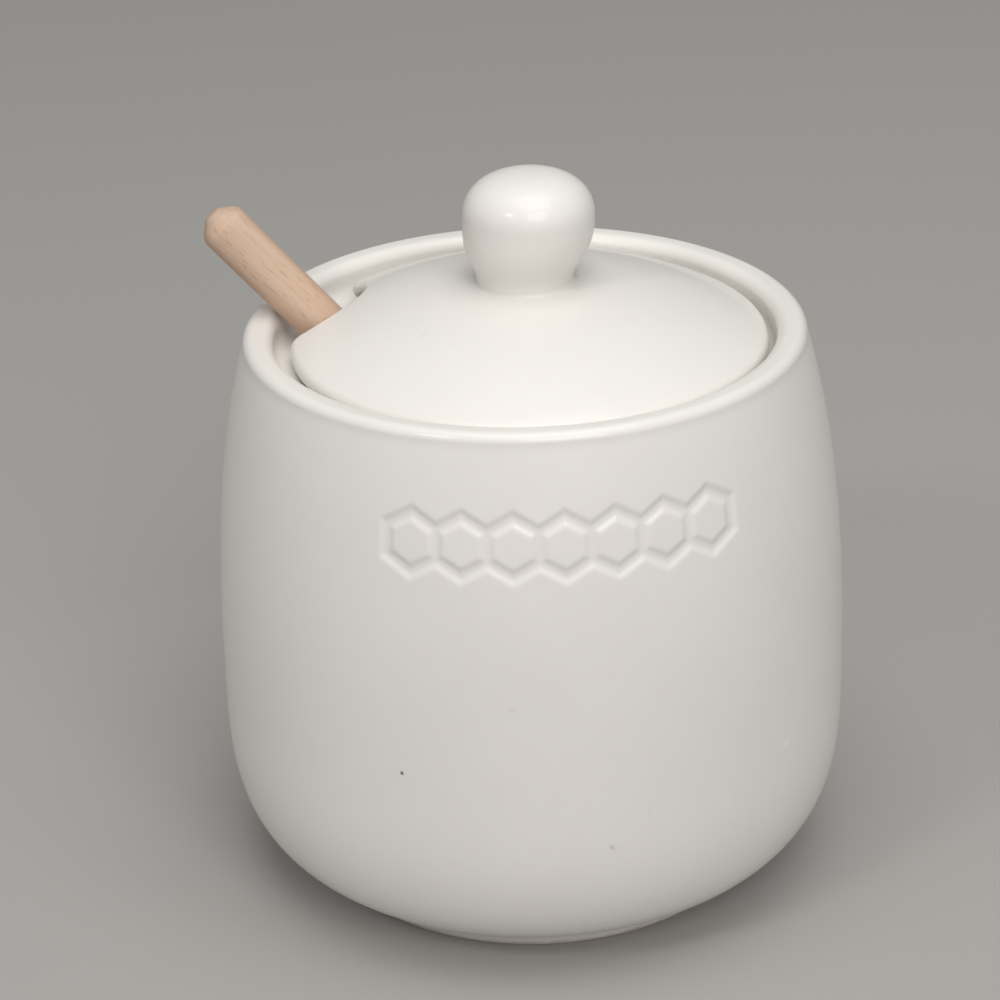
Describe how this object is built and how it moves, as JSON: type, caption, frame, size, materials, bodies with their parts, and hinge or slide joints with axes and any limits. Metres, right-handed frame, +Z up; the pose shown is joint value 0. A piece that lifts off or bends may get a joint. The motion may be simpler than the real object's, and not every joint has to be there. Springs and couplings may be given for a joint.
{
  "type": "honey pot with lid and dipper",
  "caption": "Round cream stoneware honey pot with a loose domed lid, a knob, and a wooden dipper leaning out through the lid's notch",
  "frame": {"origin": "on the pot's axis, in the plane that its foot stands on", "axes": "+Z up along the pot's axis, -Y towards the side that carries the pressed pattern, the dipper leans out towards -X"},
  "size_m": [0.11, 0.11, 0.1278],
  "materials": {
    "pot_glaze": "warm off-white satin glaze over stoneware, with a few small specks",
    "lid_glaze": "warm off-white satin glaze over stoneware",
    "dipper_wood": "plain turned beech, unvarnished"
  },
  "bodies": {
    "root": {"pot": "pot_glaze", "lid": "lid_glaze", "dipper": "dipper_wood"}
  },
  "joints": []
}
